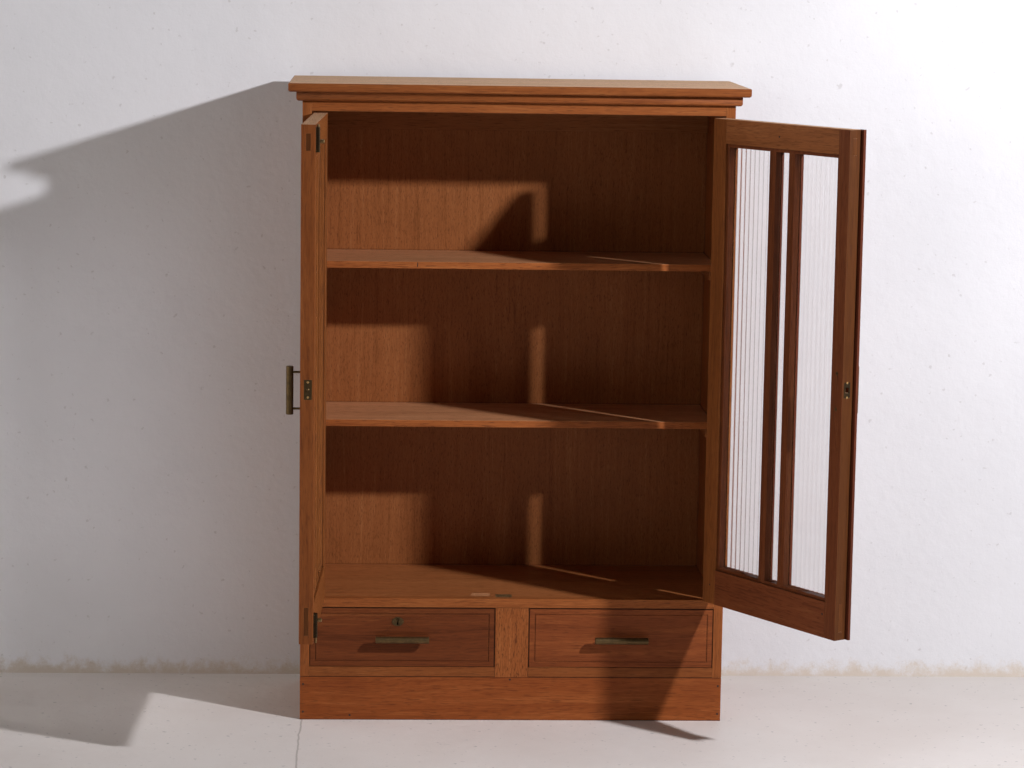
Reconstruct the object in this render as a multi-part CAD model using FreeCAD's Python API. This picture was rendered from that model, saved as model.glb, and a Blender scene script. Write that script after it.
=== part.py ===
# Shop display cabinet: two framed doors with reeded glass over two drawers.
# Frame: +Z up, +X right, front towards -Y. The origin is the middle of the
# plinth board's underside, on the floor. All sizes are in millimetres. The
# doors stand open as in use; every other moving piece is at its home position.
import FreeCAD, Part
import math
import os

Vector = FreeCAD.Vector
X_AXIS = Vector(1, 0, 0)
Z_AXIS = Vector(0, 0, 1)

# Carcass boards
carcass_width = 1000.0
carcass_depth = 400.0
side_thickness = 22.0
back_thickness = 8.0
back_rebate = 10.0
housing_depth = 6.0
housing_stop = 8.0
tenon_length = 10.0
tenon_shoulder = 5.0
seam_tolerance = 0.01
cutter_overrun = 1.0

# Heights, stacked from the floor upwards
plinth_height = 105.0
bottom_thickness = 24.0
drawer_opening = 143.0
mid_rail_height = 22.0
door_opening = 1143.0
frieze_height = 45.0
top_thickness = 20.0

# Front and back members
plinth_thickness = 20.0
mid_rail_depth = 22.0
frieze_depth = 56.0
divider_width = 80.0
divider_lap = 11.0
guide_height = 18.0
floor_thickness = 18.0
back_rail_height = 106.0
back_rail_thickness = 18.0

# Top board and the moulding under it
top_overhang = 32.0
top_lower_round = 6.0
top_upper_round = 2.5
moulding_height = 21.0
moulding_projection = 14.0
moulding_round = 6.5

# Shelves on cleats
upper_shelf_height = 1080.0
lower_shelf_height = 702.0
shelf_thickness = 16.0
shelf_setback = 115.0
shelf_end_clearance = 1.0
cleat_height = 24.0
cleat_thickness = 15.0
cleat_setback = 14.0
cleat_chamfer = 12.0

# Doors
left_door_angle = 92.0
right_door_angle = 122.0
door_thickness = 31.0
hinge_gap = 1.5
meeting_gap = 2.0
door_end_gap = 3.0
hinge_stile_width = 53.0
meeting_stile_width = 44.0
top_rail_width = 64.0
bottom_rail_width = 90.0
door_tenon_thickness = 10.0
door_tenon_haunch = 19.0

# Glazing
glazing_lip = 6.0
rebate_width = 8.0
bead_recess = 5.0
glass_thickness = 4.0
glass_edge_clearance = 2.0
reed_pitch = 16.0
reed_height = 1.0
muntin_web = 5.0
middle_pane_width = 46.0

# Closing strip on the right door
astragal_lap = 9.0
astragal_seat = 12.5
astragal_thickness = 9.0
astragal_relief = 0.5
astragal_round = 3.5

# Butt hinges
hinge_count = 2
hinge_length = 80.0
hinge_end_distance = 150.0
hinge_leaf_width = 24.0
hinge_leaf_thickness = 2.0
knuckle_count = 3
knuckle_radius = 4.2
knuckle_clearance = 0.3
hinge_axis_standoff = 4.4
pin_radius = 2.0
pin_fixed_clearance = 0.02
pin_running_clearance = 0.05

# Bar pulls on round posts
bar_radius = 8.0
bar_end_chamfer = 1.0
door_bar_length = 106.0
drawer_bar_length = 126.0
post_inset = 13.0
post_radius = 2.5
post_fit = 0.05
post_seat_depth = 0.5
post_seat_length = 9.0
bar_standoff = 23.5
pull_height = 857.0
pull_edge_distance = 20.0

# Surface bolts on the left door
bolt_edge_distance = 18.5
bolt_plate_width = 18.0
bolt_plate_length = 54.0
bolt_plate_thickness = 1.5
bolt_case_width = 11.0
bolt_case_height = 8.5
bolt_case_round = 2.5
bolt_radius = 3.0
bolt_running_clearance = 0.05
bolt_standoff = 4.7
bolt_travel = 12.0
bolt_tail = 3.0
bolt_tail_clearance = 1.0
top_bolt_inset = 6.0
bottom_bolt_inset = 12.0
top_knob_distance = 31.0
bottom_knob_distance = 39.0
knob_stem_radius = 2.0
knob_stem_clearance = 0.3
knob_clearance = 0.8
knob_radius = 4.5
knob_length = 9.0
knob_chamfer = 1.5

# Strike plates of the surface bolts
strike_width = 39.0
strike_depth = 34.0
strike_thickness = 1.5
strike_hole_radius = 3.6
strike_bore_spare = 3.0

# Ball catch between the doors
catch_height = 861.0
catch_inset = 17.0
catch_plate_length = 44.0
catch_plate_width = 17.5
catch_plate_thickness = 1.2
catch_barrel_radius = 6.0
catch_barrel_length = 22.0
catch_ball_radius = 4.0
catch_ball_clearance = 0.05
catch_ball_length = 14.0
catch_ball_reach = 3.0
nose_taper = 1.5
nose_middle_radius = 3.4
nose_tip_radius = 1.8
catch_travel = 3.0
recess_plate_length = 34.0
recess_width = 9.0
recess_height = 12.0
recess_depth = 7.0

# Drawers
drawer_front_gap = 1.2
drawer_front_thickness = 20.0
drawer_side_clearance = 1.5
drawer_run_clearance = 0.3
drawer_top_clearance = 6.0
drawer_side_thickness = 12.0
drawer_back_thickness = 10.0
drawer_back_inset = 10.0
drawer_rear_clearance = 27.0
drawer_bottom_thickness = 5.0
drawer_bottom_rise = 8.0
drawer_groove_depth = 5.0
dovetail_lap = 6.0
dovetail_count = 3
dovetail_root_share = 0.5
dovetail_slope = 7.0
drawer_pull_height = 199.0
front_groove_inset = 12.0
front_groove_width = 3.0
front_groove_depth = 1.5

# Drawer lock and its keyhole
lock_width = 60.0
lock_height = 34.0
lock_depth = 12.0
lock_offset = -11.0
lock_bolt_width = 24.0
lock_bolt_thickness = 6.0
lock_bolt_height = 16.0
lock_bolt_clearance = 0.1
lock_bolt_travel = 8.0
lock_mortise_clearance = 1.0
keyhole_radius = 3.5
keyhole_drop = 28.0
keyhole_slot_width = 3.4
keyhole_slot_length = 12.5
key_pin_radius = 1.2
key_pin_setback = 2.0
escutcheon_width = 29.0
escutcheon_height = 22.0
escutcheon_end_radius = 6.0
escutcheon_thickness = 1.2
escutcheon_drop = 4.5

# Levels and planes that follow from the sizes above
half_width = carcass_width / 2
inner_x = half_width - side_thickness
front_y = -plinth_thickness / 2
back_y = front_y + carcass_depth
panel_y = back_y - back_thickness
bottom_top = plinth_height + bottom_thickness
mid_rail_bottom = bottom_top + drawer_opening
floor_top = mid_rail_bottom + mid_rail_height
frieze_bottom = floor_top + door_opening
top_underside = frieze_bottom + frieze_height
half_divider = divider_width / 2
drawer_rear_y = panel_y - drawer_rear_clearance
door_edge_x = inner_x - hinge_gap
door_width = door_edge_x - meeting_gap / 2
door_bottom = floor_top + door_end_gap
door_top = frieze_bottom - door_end_gap
hinge_axis_x = inner_x - hinge_gap / 2
hinge_axis_y = front_y - hinge_axis_standoff
bolt_t = door_thickness + bolt_standoff
bolt_s = door_width - bolt_edge_distance


def block(x0, x1, y0, y1, z0, z1):
    """A box between two opposite corners, given in any order."""
    low = Vector(min(x0, x1), min(y0, y1), min(z0, z1))
    return Part.makeBox(abs(x1 - x0), abs(y1 - y0), abs(z1 - z0), low)


def rod(radius, start, end):
    """A round bar between two points."""
    along = end - start
    return Part.makeCylinder(radius, along.Length, start, along)


def prism(points, sweep):
    """A polygon swept along a vector."""
    return Part.Face(Part.makePolygon(points + points[:1])).extrude(sweep)


def fuse(first, *others):
    """One solid from several that touch, without the seams."""
    return first.fuse(list(others)).removeSplitter()


def cut(body, *tools):
    """The body with every tool taken away."""
    return body.cut(list(tools)) if tools else body


def level_edges(shape, z):
    """The edges that lie at one height."""
    return [e for e in shape.Edges if all(abs(v.Z - z) < seam_tolerance for v in e.Vertexes)]


def round_free_edges(shape, radius, z):
    """Round the edges at one height, but not the one against the wall."""
    free = [e for e in level_edges(shape, z) if e.CenterOfMass.y < back_y - seam_tolerance]
    return shape.makeFillet(radius, free)


def save(node, *solids):
    """Write one node; a node of several alike pieces is a compound."""
    pieces = [piece for solid in solids for piece in solid.Solids]
    shape = pieces[0] if len(pieces) == 1 else Part.makeCompound(pieces)
    shape.exportStep(os.path.join("parts", node + ".step"))


# Carcass

def stub_tenons(y0, y1, z0, z1):
    """Hidden tenons on both ends of a rail between the side boards."""
    reach = inner_x + tenon_length
    y_in, y_out = y0 + tenon_shoulder, y1 - tenon_shoulder
    z_in, z_out = z0 + tenon_shoulder, z1 - tenon_shoulder
    return [block(sign * inner_x, sign * reach, y_in, y_out, z_in, z_out) for sign in (-1, 1)]


def frieze_tenons():
    return stub_tenons(front_y, front_y + frieze_depth, frieze_bottom, top_underside)


def mid_rail_tenons():
    return stub_tenons(front_y, front_y + mid_rail_depth, mid_rail_bottom, floor_top)


def back_rail_tenons():
    y0, z0 = panel_y - back_rail_thickness, top_underside - back_rail_height
    return stub_tenons(y0, panel_y, z0, top_underside)


def housed_board(y_front, z0, z1):
    """A board let into stopped housings in both side boards."""
    stop_y = front_y + max(plinth_thickness, mid_rail_depth) + housing_stop
    middle = block(-inner_x, inner_x, y_front, panel_y, z0, z1)
    reach = inner_x + housing_depth
    return fuse(middle, block(-reach, reach, stop_y, panel_y, z0, z1))


def side_board(sign):
    """One side, notched for the plinth, rebated for the back, housed for the boards."""
    inside, outside = sign * inner_x, sign * half_width
    board = block(inside, outside, front_y, back_y, 0, top_underside)
    notch = block(inside, outside, front_y, front_y + plinth_thickness, 0, plinth_height)
    rebate = block(inside, sign * (inner_x + back_rebate), panel_y, back_y, plinth_height, top_underside)
    rails = frieze_tenons() + mid_rail_tenons() + back_rail_tenons()
    boards = [bottom_board_blank(), cabinet_floor_blank()]
    recesses = [hinge_leaf_recess(sign, z) for z in hinge_levels()]
    return cut(board, notch, rebate, *rails, *boards, *recesses)


def bottom_board_blank():
    return housed_board(front_y, plinth_height, bottom_top)


def cabinet_floor_blank():
    return housed_board(front_y + mid_rail_depth, floor_top - floor_thickness, floor_top)


def drawer_divider():
    """The upright between the drawers, halved over the bottom board's front edge."""
    x0, x1 = -half_divider, half_divider
    upright = block(x0, x1, front_y, front_y + mid_rail_depth, bottom_top, mid_rail_bottom)
    lap = block(x0, x1, front_y, front_y + divider_lap, plinth_height, bottom_top)
    return fuse(upright, lap)


def top_board():
    """The top, with a full round under its three free edges and a small one above."""
    reach = half_width + top_overhang
    front = front_y - top_overhang
    top = top_underside + top_thickness
    board = block(-reach, reach, front, back_y, top_underside, top)
    board = round_free_edges(board, top_lower_round, top_underside)
    return round_free_edges(board, top_upper_round, top)


def cornice_moulding():
    """The moulding under the top: three pieces mitred at the front corners."""
    side = half_width + moulding_projection
    front = front_y - moulding_projection
    low = top_underside - moulding_height
    ring = block(-side, side, front, back_y, low, top_underside)
    ring = round_free_edges(ring, moulding_round, low)
    ring = cut(ring, block(-half_width, half_width, front_y, back_y, low, top_underside))
    lift = Vector(0, 0, moulding_height)
    front_part = prism([Vector(-side, front, low), Vector(side, front, low),
                        Vector(half_width, front_y, low), Vector(-half_width, front_y, low)], lift)
    pieces = [ring.common(front_part)]
    for sign in (-1, 1):
        outer, inner = sign * side, sign * half_width
        return_part = prism([Vector(outer, front, low), Vector(inner, front_y, low),
                             Vector(inner, back_y, low), Vector(outer, back_y, low)], lift)
        pieces.append(ring.common(return_part))
    return pieces


def shelf_levels():
    """The height of each shelf's upper face."""
    return lower_shelf_height, upper_shelf_height


def shelf(top_z):
    reach = inner_x - shelf_end_clearance
    return block(-reach, reach, front_y + shelf_setback, panel_y, top_z - shelf_thickness, top_z)


def shelf_cleat(sign, shelf_z):
    """The batten under one end of a shelf, its front lower corner cut off."""
    top = shelf_z - shelf_thickness
    low = top - cleat_height
    y0 = front_y + shelf_setback + cleat_setback
    x0 = sign * inner_x
    outline = [Vector(x0, y0, top), Vector(x0, panel_y, top), Vector(x0, panel_y, low),
               Vector(x0, y0 + cleat_chamfer, low), Vector(x0, y0, low + cleat_chamfer)]
    return prism(outline, Vector(-sign * cleat_thickness, 0, 0))


def carcass():
    divider = drawer_divider()
    strikes = [strike_plate(floor_top, -1), strike_plate(frieze_bottom, 1)]
    bores = [strike_bore(floor_top, -1), strike_bore(frieze_bottom, 1)]
    mid_rail = fuse(block(-inner_x, inner_x, front_y, front_y + mid_rail_depth, mid_rail_bottom, floor_top),
                    *mid_rail_tenons())
    frieze = fuse(block(-inner_x, inner_x, front_y, front_y + frieze_depth, frieze_bottom, top_underside),
                  *frieze_tenons())
    back_rail = fuse(block(-inner_x, inner_x, panel_y - back_rail_thickness, panel_y,
                           top_underside - back_rail_height, top_underside), *back_rail_tenons())
    save("left_side", side_board(-1))
    save("right_side", side_board(1))
    save("top_board", top_board())
    save("cornice_moulding", *cornice_moulding())
    save("frieze_rail", cut(frieze, strikes[1], bores[1]))
    save("back_top_rail", back_rail)
    save("back_panel", block(-inner_x - back_rebate, inner_x + back_rebate, panel_y, back_y,
                             plinth_height, top_underside))
    save("cabinet_floor", cut(cabinet_floor_blank(), strikes[0], bores[0]))
    save("mid_rail", cut(mid_rail, strikes[0], bores[0], lock_mortise()))
    save("drawer_divider", divider)
    save("bottom_board", cut(bottom_board_blank(), divider))
    save("plinth", block(-half_width, half_width, front_y, front_y + plinth_thickness, 0, plinth_height))
    save("drawer_guide", block(-half_divider, half_divider, front_y + mid_rail_depth, panel_y,
                               bottom_top, bottom_top + guide_height))
    save("shelves", *[shelf(z) for z in shelf_levels()])
    save("shelf_cleats", *[shelf_cleat(sign, z) for z in shelf_levels() for sign in (-1, 1)])
    save("strike_plates", *[cut(plate, bore) for plate, bore in zip(strikes, bores)])


# Doors, drawn closed. s runs from the hinge edge to the meeting edge,
# t from the outer face inwards. side is -1 for the left door, 1 for the right.

def at(side, s, t, z):
    return Vector(side * (door_edge_x - s), front_y + t, z)


def door_block(side, s0, s1, t0, t1, z0, z1):
    low, high = at(side, s0, t0, z0), at(side, s1, t1, z1)
    return block(low.x, high.x, low.y, high.y, z0, z1)


def swing(side, shape):
    """Turn a closed door's piece about its hinge axis to the open angle."""
    angle = -left_door_angle if side < 0 else right_door_angle
    turned = shape.copy()
    turned.rotate(Vector(side * hinge_axis_x, hinge_axis_y, 0), Z_AXIS, angle)
    return turned


def rail_levels():
    """Lower and upper edge of the bottom and the top rail."""
    bottom = (door_bottom, door_bottom + bottom_rail_width)
    top = (door_top - top_rail_width, door_top)
    return bottom, top


def pane_spans():
    """Start and end of each pane's sight opening across the door."""
    first = hinge_stile_width
    last = door_width - meeting_stile_width
    muntin = muntin_width()
    outer = (last - first - middle_pane_width - 2 * muntin) / 2
    middle = first + outer + muntin
    return [(first, first + outer), (middle, middle + middle_pane_width), (last - outer, last)]


def muntin_width():
    return muntin_web + 2 * rebate_width


def door_tenons(side):
    """Through tenons of both rails, full width of the door."""
    bottom, top = rail_levels()
    t0 = (door_thickness - door_tenon_thickness) / 2
    t1 = t0 + door_tenon_thickness
    levels = [(bottom[0] + door_tenon_haunch, bottom[1] - rebate_width),
              (top[0] + rebate_width, top[1] - door_tenon_haunch)]
    return [door_block(side, 0, door_width, t0, t1, z0, z1) for z0, z1 in levels]


def door_stile(side, s0, s1, glazed_s):
    """An upright with its glazing rebate; glazed_s is the edge that faces the glass."""
    inward = s0 if glazed_s == s1 else s1
    depth = rebate_width if inward < glazed_s else -rebate_width
    ends = (door_bottom, door_top)
    stile = door_block(side, s0, s1, 0, door_thickness, *ends)
    rebate = door_block(side, glazed_s - depth, glazed_s, glazing_lip, door_thickness, *ends)
    return cut(stile, rebate, *door_tenons(side))


def door_rail(side, index):
    """A rail with a long shoulder over the stiles' rebates and its through tenon."""
    low, high = rail_levels()[index]
    inner_low, inner_high = (low, high - rebate_width) if index == 0 else (low + rebate_width, high)
    s0, s1 = hinge_stile_width, door_width - meeting_stile_width
    lip = door_block(side, s0, s1, 0, glazing_lip, low, high)
    body = door_block(side, s0 - rebate_width, s1 + rebate_width, glazing_lip, door_thickness,
                      inner_low, inner_high)
    return fuse(lip, body, door_tenons(side)[index])


def muntins(side):
    """Two glazing bars of T section between the rails."""
    bottom, top = rail_levels()
    spans = pane_spans()
    bars = []
    for left, right in ((spans[0], spans[1]), (spans[1], spans[2])):
        s0, s1 = left[1], right[0]
        lip = door_block(side, s0, s1, 0, glazing_lip, bottom[1], top[0])
        web = door_block(side, s0 + rebate_width, s1 - rebate_width,
                         glazing_lip, door_thickness - bead_recess,
                         bottom[1] - rebate_width, top[0] + rebate_width)
        bars.append(fuse(lip, web))
    return bars


def reeded_pane(side, span):
    """A sheet with a flat outer face and rounded reeds on its inner face."""
    bottom, top = rail_levels()
    overlap = rebate_width - glass_edge_clearance
    s0, s1 = span[0] - overlap, span[1] + overlap
    z0, z1 = bottom[1] - overlap, top[0] + overlap
    t_flat, t_valley = glazing_lip, glazing_lip + glass_thickness - reed_height
    reeds = max(1, round((s1 - s0) / reed_pitch))
    step = (s1 - s0) / reeds
    corners = [at(side, s0, t_valley, z0), at(side, s0, t_flat, z0), at(side, s1, t_flat, z0),
               at(side, s1, t_valley, z0)]
    edges = [Part.makeLine(a, b) for a, b in zip(corners, corners[1:])]
    for i in range(reeds):
        start = s1 - i * step
        crest = at(side, start - step / 2, t_valley + reed_height, z0)
        arc = Part.Arc(at(side, start, t_valley, z0), crest, at(side, start - step, t_valley, z0))
        edges.append(arc.toShape())
    return Part.Face(Part.Wire(edges)).extrude(Vector(0, 0, z1 - z0))


def glazing_beads(side, span):
    """Four mitred beads that hold one pane in its rebate."""
    bottom, top = rail_levels()
    t0 = glazing_lip + glass_thickness
    depth = Vector(0, door_thickness - bead_recess - t0, 0)
    inner = [(span[0], bottom[1]), (span[1], bottom[1]), (span[1], top[0]), (span[0], top[0])]
    w = rebate_width
    shifts = [(-w, -w), (w, -w), (w, w), (-w, w)]
    outer = [(s + ds, z + dz) for (s, z), (ds, dz) in zip(inner, shifts)]
    beads = []
    for i in range(4):
        j = (i + 1) % 4
        corners = [inner[i], inner[j], outer[j], outer[i]]
        beads.append(prism([at(side, s, t0, z) for s, z in corners], depth))
    return beads


def astragal(side):
    """The closing strip on the outer face, lapping over the other door."""
    z0, z1 = door_bottom, door_top
    seat = door_block(side, door_width - astragal_seat, door_width, -astragal_thickness, 0, z0, z1)
    lap = door_block(side, door_width, door_width + astragal_lap,
                     -astragal_thickness, -astragal_relief, z0, z1)
    strip = fuse(seat, lap)
    outer_y = front_y - astragal_thickness
    arrises = [e for e in strip.Edges if e.Length > astragal_seat + astragal_lap
               and abs(e.CenterOfMass.y - outer_y) < seam_tolerance]
    return strip.makeFillet(astragal_round, arrises)


# Butt hinges

def hinge_levels():
    """The middle height of each hinge of a door."""
    low = door_bottom + hinge_end_distance
    high = door_top - hinge_end_distance
    step = (high - low) / (hinge_count - 1)
    return [low + i * step for i in range(hinge_count)]


def hinge_ends(z):
    """The lower and upper end of the barrel of a hinge at height z."""
    return z - hinge_length / 2, z + hinge_length / 2


def hinge_leaf_recess(side, z):
    x0, x1 = inner_x, inner_x + hinge_leaf_thickness
    return block(side * x0, side * x1, front_y, front_y + hinge_leaf_width, *hinge_ends(z))


def hinge_axis(side, z):
    return Vector(side * hinge_axis_x, hinge_axis_y, z)


def hinge_leaf(side, z, on_frame):
    """One leaf: the frame's has the odd knuckles, the door's has the even ones."""
    base, end = hinge_ends(z)
    x_face = inner_x if on_frame else door_edge_x
    x_deep = x_face + (hinge_leaf_thickness if on_frame else -hinge_leaf_thickness)
    plate = block(side * x_face, side * x_deep, hinge_axis_y, front_y + hinge_leaf_width, base, end)
    pitch = hinge_length / knuckle_count
    keep, clear = [], []
    for i in range(knuckle_count):
        z0, z1 = base + i * pitch, base + (i + 1) * pitch
        if (i % 2 == 0) == on_frame:
            z0 += knuckle_clearance / 2 if i > 0 else 0
            z1 -= knuckle_clearance / 2 if i < knuckle_count - 1 else 0
            keep.append(rod(knuckle_radius, hinge_axis(side, z0), hinge_axis(side, z1)))
        else:
            z0 -= knuckle_clearance / 2
            z1 += knuckle_clearance / 2
            y_clear = hinge_axis_y + knuckle_radius + knuckle_clearance
            clear.append(block(side * x_face, side * x_deep, hinge_axis_y, y_clear, z0, z1))
    fit = pin_fixed_clearance if on_frame else pin_running_clearance
    bore = rod(pin_radius + fit, hinge_axis(side, base - cutter_overrun),
               hinge_axis(side, end + cutter_overrun))
    return cut(fuse(cut(plate, *clear), *keep), bore)


def hinge_pin(side, z):
    """The pin, flush with both ends of the barrel."""
    low, high = hinge_ends(z)
    return rod(pin_radius, hinge_axis(side, low), hinge_axis(side, high))


def door_leaf_recess(side, z):
    return door_block(side, 0, hinge_leaf_thickness, 0, hinge_leaf_width, *hinge_ends(z))


# Bar pulls

def pull_bar(middle, along, length, outward):
    """A round bar with chamfered ends and two flats that its posts are screwed to."""
    half = along * (length / 2)
    bar = rod(bar_radius, middle - half, middle + half)
    bar = bar.makeChamfer(bar_end_chamfer, [e for e in bar.Edges if e.Curve.TypeId == "Part::GeomCircle"])
    flats = [post_seat(end, along, outward) for end in post_ends(middle, along, length)]
    return cut(bar, *flats)


def post_seat(end, along, outward):
    """The sliver cut off the back of the bar where a post meets it."""
    plane = end - outward * (bar_radius - post_seat_depth)
    half_length = along * (post_seat_length / 2)
    half_width = along.cross(outward) * bar_radius
    corners = [plane - half_length - half_width, plane + half_length - half_width,
               plane + half_length + half_width, plane - half_length + half_width]
    return prism(corners, outward * -post_seat_depth)


def post_ends(middle, along, length):
    """Where each post's axis meets the bar's axis."""
    reach = along * (length / 2 - post_inset)
    return [middle - reach, middle + reach]


def pull_posts(middle, along, length, outward, depth):
    """Two posts from the bar's flats to the far face of the wood."""
    start = bar_radius - post_seat_depth
    far = bar_standoff + depth
    return [rod(post_radius, end - outward * start, end - outward * far)
            for end in post_ends(middle, along, length)]


def post_holes(middle, along, length, outward, depth):
    reach = outward * (bar_standoff + depth + cutter_overrun)
    return [rod(post_radius + post_fit, end, end - reach)
            for end in post_ends(middle, along, length)]


def door_pull_middle(side):
    return at(side, door_width - pull_edge_distance, -bar_standoff, pull_height)


# Surface bolts of the left door

def bolt_case(side, edge_z, up):
    """Plate and slotted case of a bolt; up is 1 for the top bolt and -1 for the bottom one."""
    inset = top_bolt_inset if up > 0 else bottom_bolt_inset
    z0 = edge_z - up * inset
    z1 = z0 - up * bolt_plate_length
    half_plate, half_case = bolt_plate_width / 2, bolt_case_width / 2
    t0 = door_thickness
    t_plate, t_case = t0 + bolt_plate_thickness, t0 + bolt_case_height
    plate = door_block(side, bolt_s - half_plate, bolt_s + half_plate, t0, t_plate, z0, z1)
    case = door_block(side, bolt_s - half_case, bolt_s + half_case, t0, t_case, z0, z1)
    arrises = [e for e in case.Edges if e.Length > bolt_plate_length - seam_tolerance
               and e.CenterOfMass.y > front_y + t_plate]
    case = case.makeFillet(bolt_case_round, arrises)
    bore = rod(bolt_radius + bolt_running_clearance, at(side, bolt_s, bolt_t, z0 + up * cutter_overrun),
               at(side, bolt_s, bolt_t, bolt_tail_z(edge_z, up) - up * bolt_tail_clearance))
    knob_z = bolt_knob_z(edge_z, up)
    half_slot = knob_stem_radius + knob_stem_clearance
    slot = door_block(side, bolt_s - half_slot, bolt_s + half_slot, bolt_t, t_case + cutter_overrun,
                      knob_z - up * half_slot, knob_z + up * (bolt_travel + half_slot))
    return cut(fuse(plate, case), bore, slot)


def bolt_tail_z(edge_z, up):
    """The inner end of the sliding bolt, short of the case's closed end."""
    inset = top_bolt_inset if up > 0 else bottom_bolt_inset
    return edge_z - up * (inset + bolt_plate_length - bolt_tail)


def bolt_knob_z(edge_z, up):
    """The height of a drawn-back bolt's knob."""
    if up > 0:
        return edge_z - top_bolt_inset - top_knob_distance
    return edge_z + bottom_bolt_inset + bottom_knob_distance


def sliding_bolt(side, edge_z, up):
    """The round bolt, drawn back level with the door's edge, with its knob."""
    knob_z = bolt_knob_z(edge_z, up)
    tail = at(side, bolt_s, bolt_t, bolt_tail_z(edge_z, up))
    shaft = rod(bolt_radius, tail, at(side, bolt_s, bolt_t, edge_z))
    t_knob = door_thickness + bolt_case_height + knob_clearance
    knob_foot = at(side, bolt_s, t_knob, knob_z)
    stem = rod(knob_stem_radius, at(side, bolt_s, bolt_t, knob_z), knob_foot)
    knob = rod(knob_radius, knob_foot, at(side, bolt_s, t_knob + knob_length, knob_z))
    rim = [e for e in knob.Edges if e.Curve.TypeId == "Part::GeomCircle"
           and e.CenterOfMass.y > knob_foot.y + seam_tolerance]
    return fuse(shaft, stem, knob.makeChamfer(knob_chamfer, rim))


def strike_plate(face_z, up):
    """The plate let into the wood that a bolt shoots through."""
    middle = at(-1, bolt_s, bolt_t, face_z)
    half_w, half_d = strike_width / 2, strike_depth / 2
    return block(middle.x - half_w, middle.x + half_w, middle.y - half_d, middle.y + half_d,
                 face_z, face_z + up * strike_thickness)


def strike_bore(face_z, up):
    middle = at(-1, bolt_s, bolt_t, face_z)
    depth = bolt_travel - door_end_gap + strike_bore_spare
    return rod(strike_hole_radius, middle, middle + Vector(0, 0, up * depth))


# Ball catch in the meeting edge of the left door

def catch_axis_point(side, s):
    return at(side, s, catch_inset, catch_height)


def edge_plate(side, length):
    """A plate let flush into the meeting edge."""
    half_t, half_z = catch_plate_width / 2, length / 2
    return door_block(side, door_width - catch_plate_thickness, door_width, catch_inset - half_t,
                      catch_inset + half_t, catch_height - half_z, catch_height + half_z)


def catch_barrel(side):
    return rod(catch_barrel_radius, catch_axis_point(side, door_width - catch_barrel_length),
               catch_axis_point(side, door_width))


def catch_case(side):
    bore_length = catch_ball_length + catch_travel
    bore = rod(catch_ball_radius + catch_ball_clearance, catch_axis_point(side, door_width - bore_length),
               catch_axis_point(side, door_width + cutter_overrun))
    return cut(fuse(edge_plate(side, catch_plate_length), catch_barrel(side)), bore)


def catch_ball(side):
    """The sprung plunger, its nose turned down in two tapers out of the plate."""
    tip = door_width + catch_ball_reach
    tail = catch_axis_point(side, tip - catch_ball_length)
    shoulder = catch_axis_point(side, tip - 2 * nose_taper)
    waist = catch_axis_point(side, tip - nose_taper)
    out = waist - shoulder
    shank = rod(catch_ball_radius, tail, shoulder)
    lower = Part.makeCone(catch_ball_radius, nose_middle_radius, nose_taper, shoulder, out)
    upper = Part.makeCone(nose_middle_radius, nose_tip_radius, nose_taper, waist, out)
    return fuse(shank, lower, upper)


def catch_recess(side):
    """The pocket in the other door that the catch springs into."""
    half_t, half_z = recess_width / 2, recess_height / 2
    return door_block(side, door_width - recess_depth, door_width, catch_inset - half_t,
                      catch_inset + half_t, catch_height - half_z, catch_height + half_z)


def door(side):
    """All pieces of one door, closed, by node name."""
    hand = "left" if side < 0 else "right"
    meeting_s = door_width - meeting_stile_width
    middle, outward = door_pull_middle(side), Vector(0, -1, 0)
    pull = (middle, Z_AXIS, door_bar_length, outward)
    holes = post_holes(*pull, door_thickness)
    hinge_stile = cut(door_stile(side, 0, hinge_stile_width, hinge_stile_width),
                      *[door_leaf_recess(side, z) for z in hinge_levels()])
    meeting_stile = cut(door_stile(side, meeting_s, door_width, meeting_s), *holes)
    pieces = {}
    if side < 0:
        meeting_stile = cut(meeting_stile, edge_plate(side, catch_plate_length), catch_barrel(side))
        pieces["left_bolt_cases"] = [bolt_case(side, door_top, 1), bolt_case(side, door_bottom, -1)]
        pieces["left_top_bolt"] = [sliding_bolt(side, door_top, 1)]
        pieces["left_bottom_bolt"] = [sliding_bolt(side, door_bottom, -1)]
        pieces["left_catch_case"] = [catch_case(side)]
        pieces["left_catch_ball"] = [catch_ball(side)]
    else:
        recess = catch_recess(side)
        plate = edge_plate(side, recess_plate_length)
        meeting_stile = cut(meeting_stile, recess, plate)
        pieces["right_catch_plate"] = [cut(plate, recess)]
        pieces["right_astragal"] = [astragal(side)]
    pieces[hand + "_hinge_stile"] = [hinge_stile]
    pieces[hand + "_meeting_stile"] = [meeting_stile]
    pieces[hand + "_bottom_rail"] = [door_rail(side, 0)]
    pieces[hand + "_top_rail"] = [door_rail(side, 1)]
    pieces[hand + "_muntins"] = muntins(side)
    pieces[hand + "_glass_panes"] = [reeded_pane(side, span) for span in pane_spans()]
    pieces[hand + "_glazing_beads"] = [bead for span in pane_spans() for bead in glazing_beads(side, span)]
    pieces[hand + "_hinge_leaves"] = [hinge_leaf(side, z, False) for z in hinge_levels()]
    pieces[hand + "_pull_bar"] = [pull_bar(*pull)]
    pieces[hand + "_pull_posts"] = pull_posts(*pull, door_thickness)
    return pieces


def doors():
    for side in (-1, 1):
        for node, pieces in door(side).items():
            save(node, *[swing(side, piece) for piece in pieces])
    frame_leaves = [hinge_leaf(side, z, True) for side in (-1, 1) for z in hinge_levels()]
    save("frame_hinge_leaves", *frame_leaves)
    save("hinge_pins", *[hinge_pin(side, z) for side in (-1, 1) for z in hinge_levels()])


# Drawers. side is -1 for the left drawer and 1 for the right one.

def drawer_span(side):
    """The opening's two sides in x."""
    return sorted((side * half_divider, side * inner_x))


def drawer_middle_x(side):
    return side * (half_divider + inner_x) / 2


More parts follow.
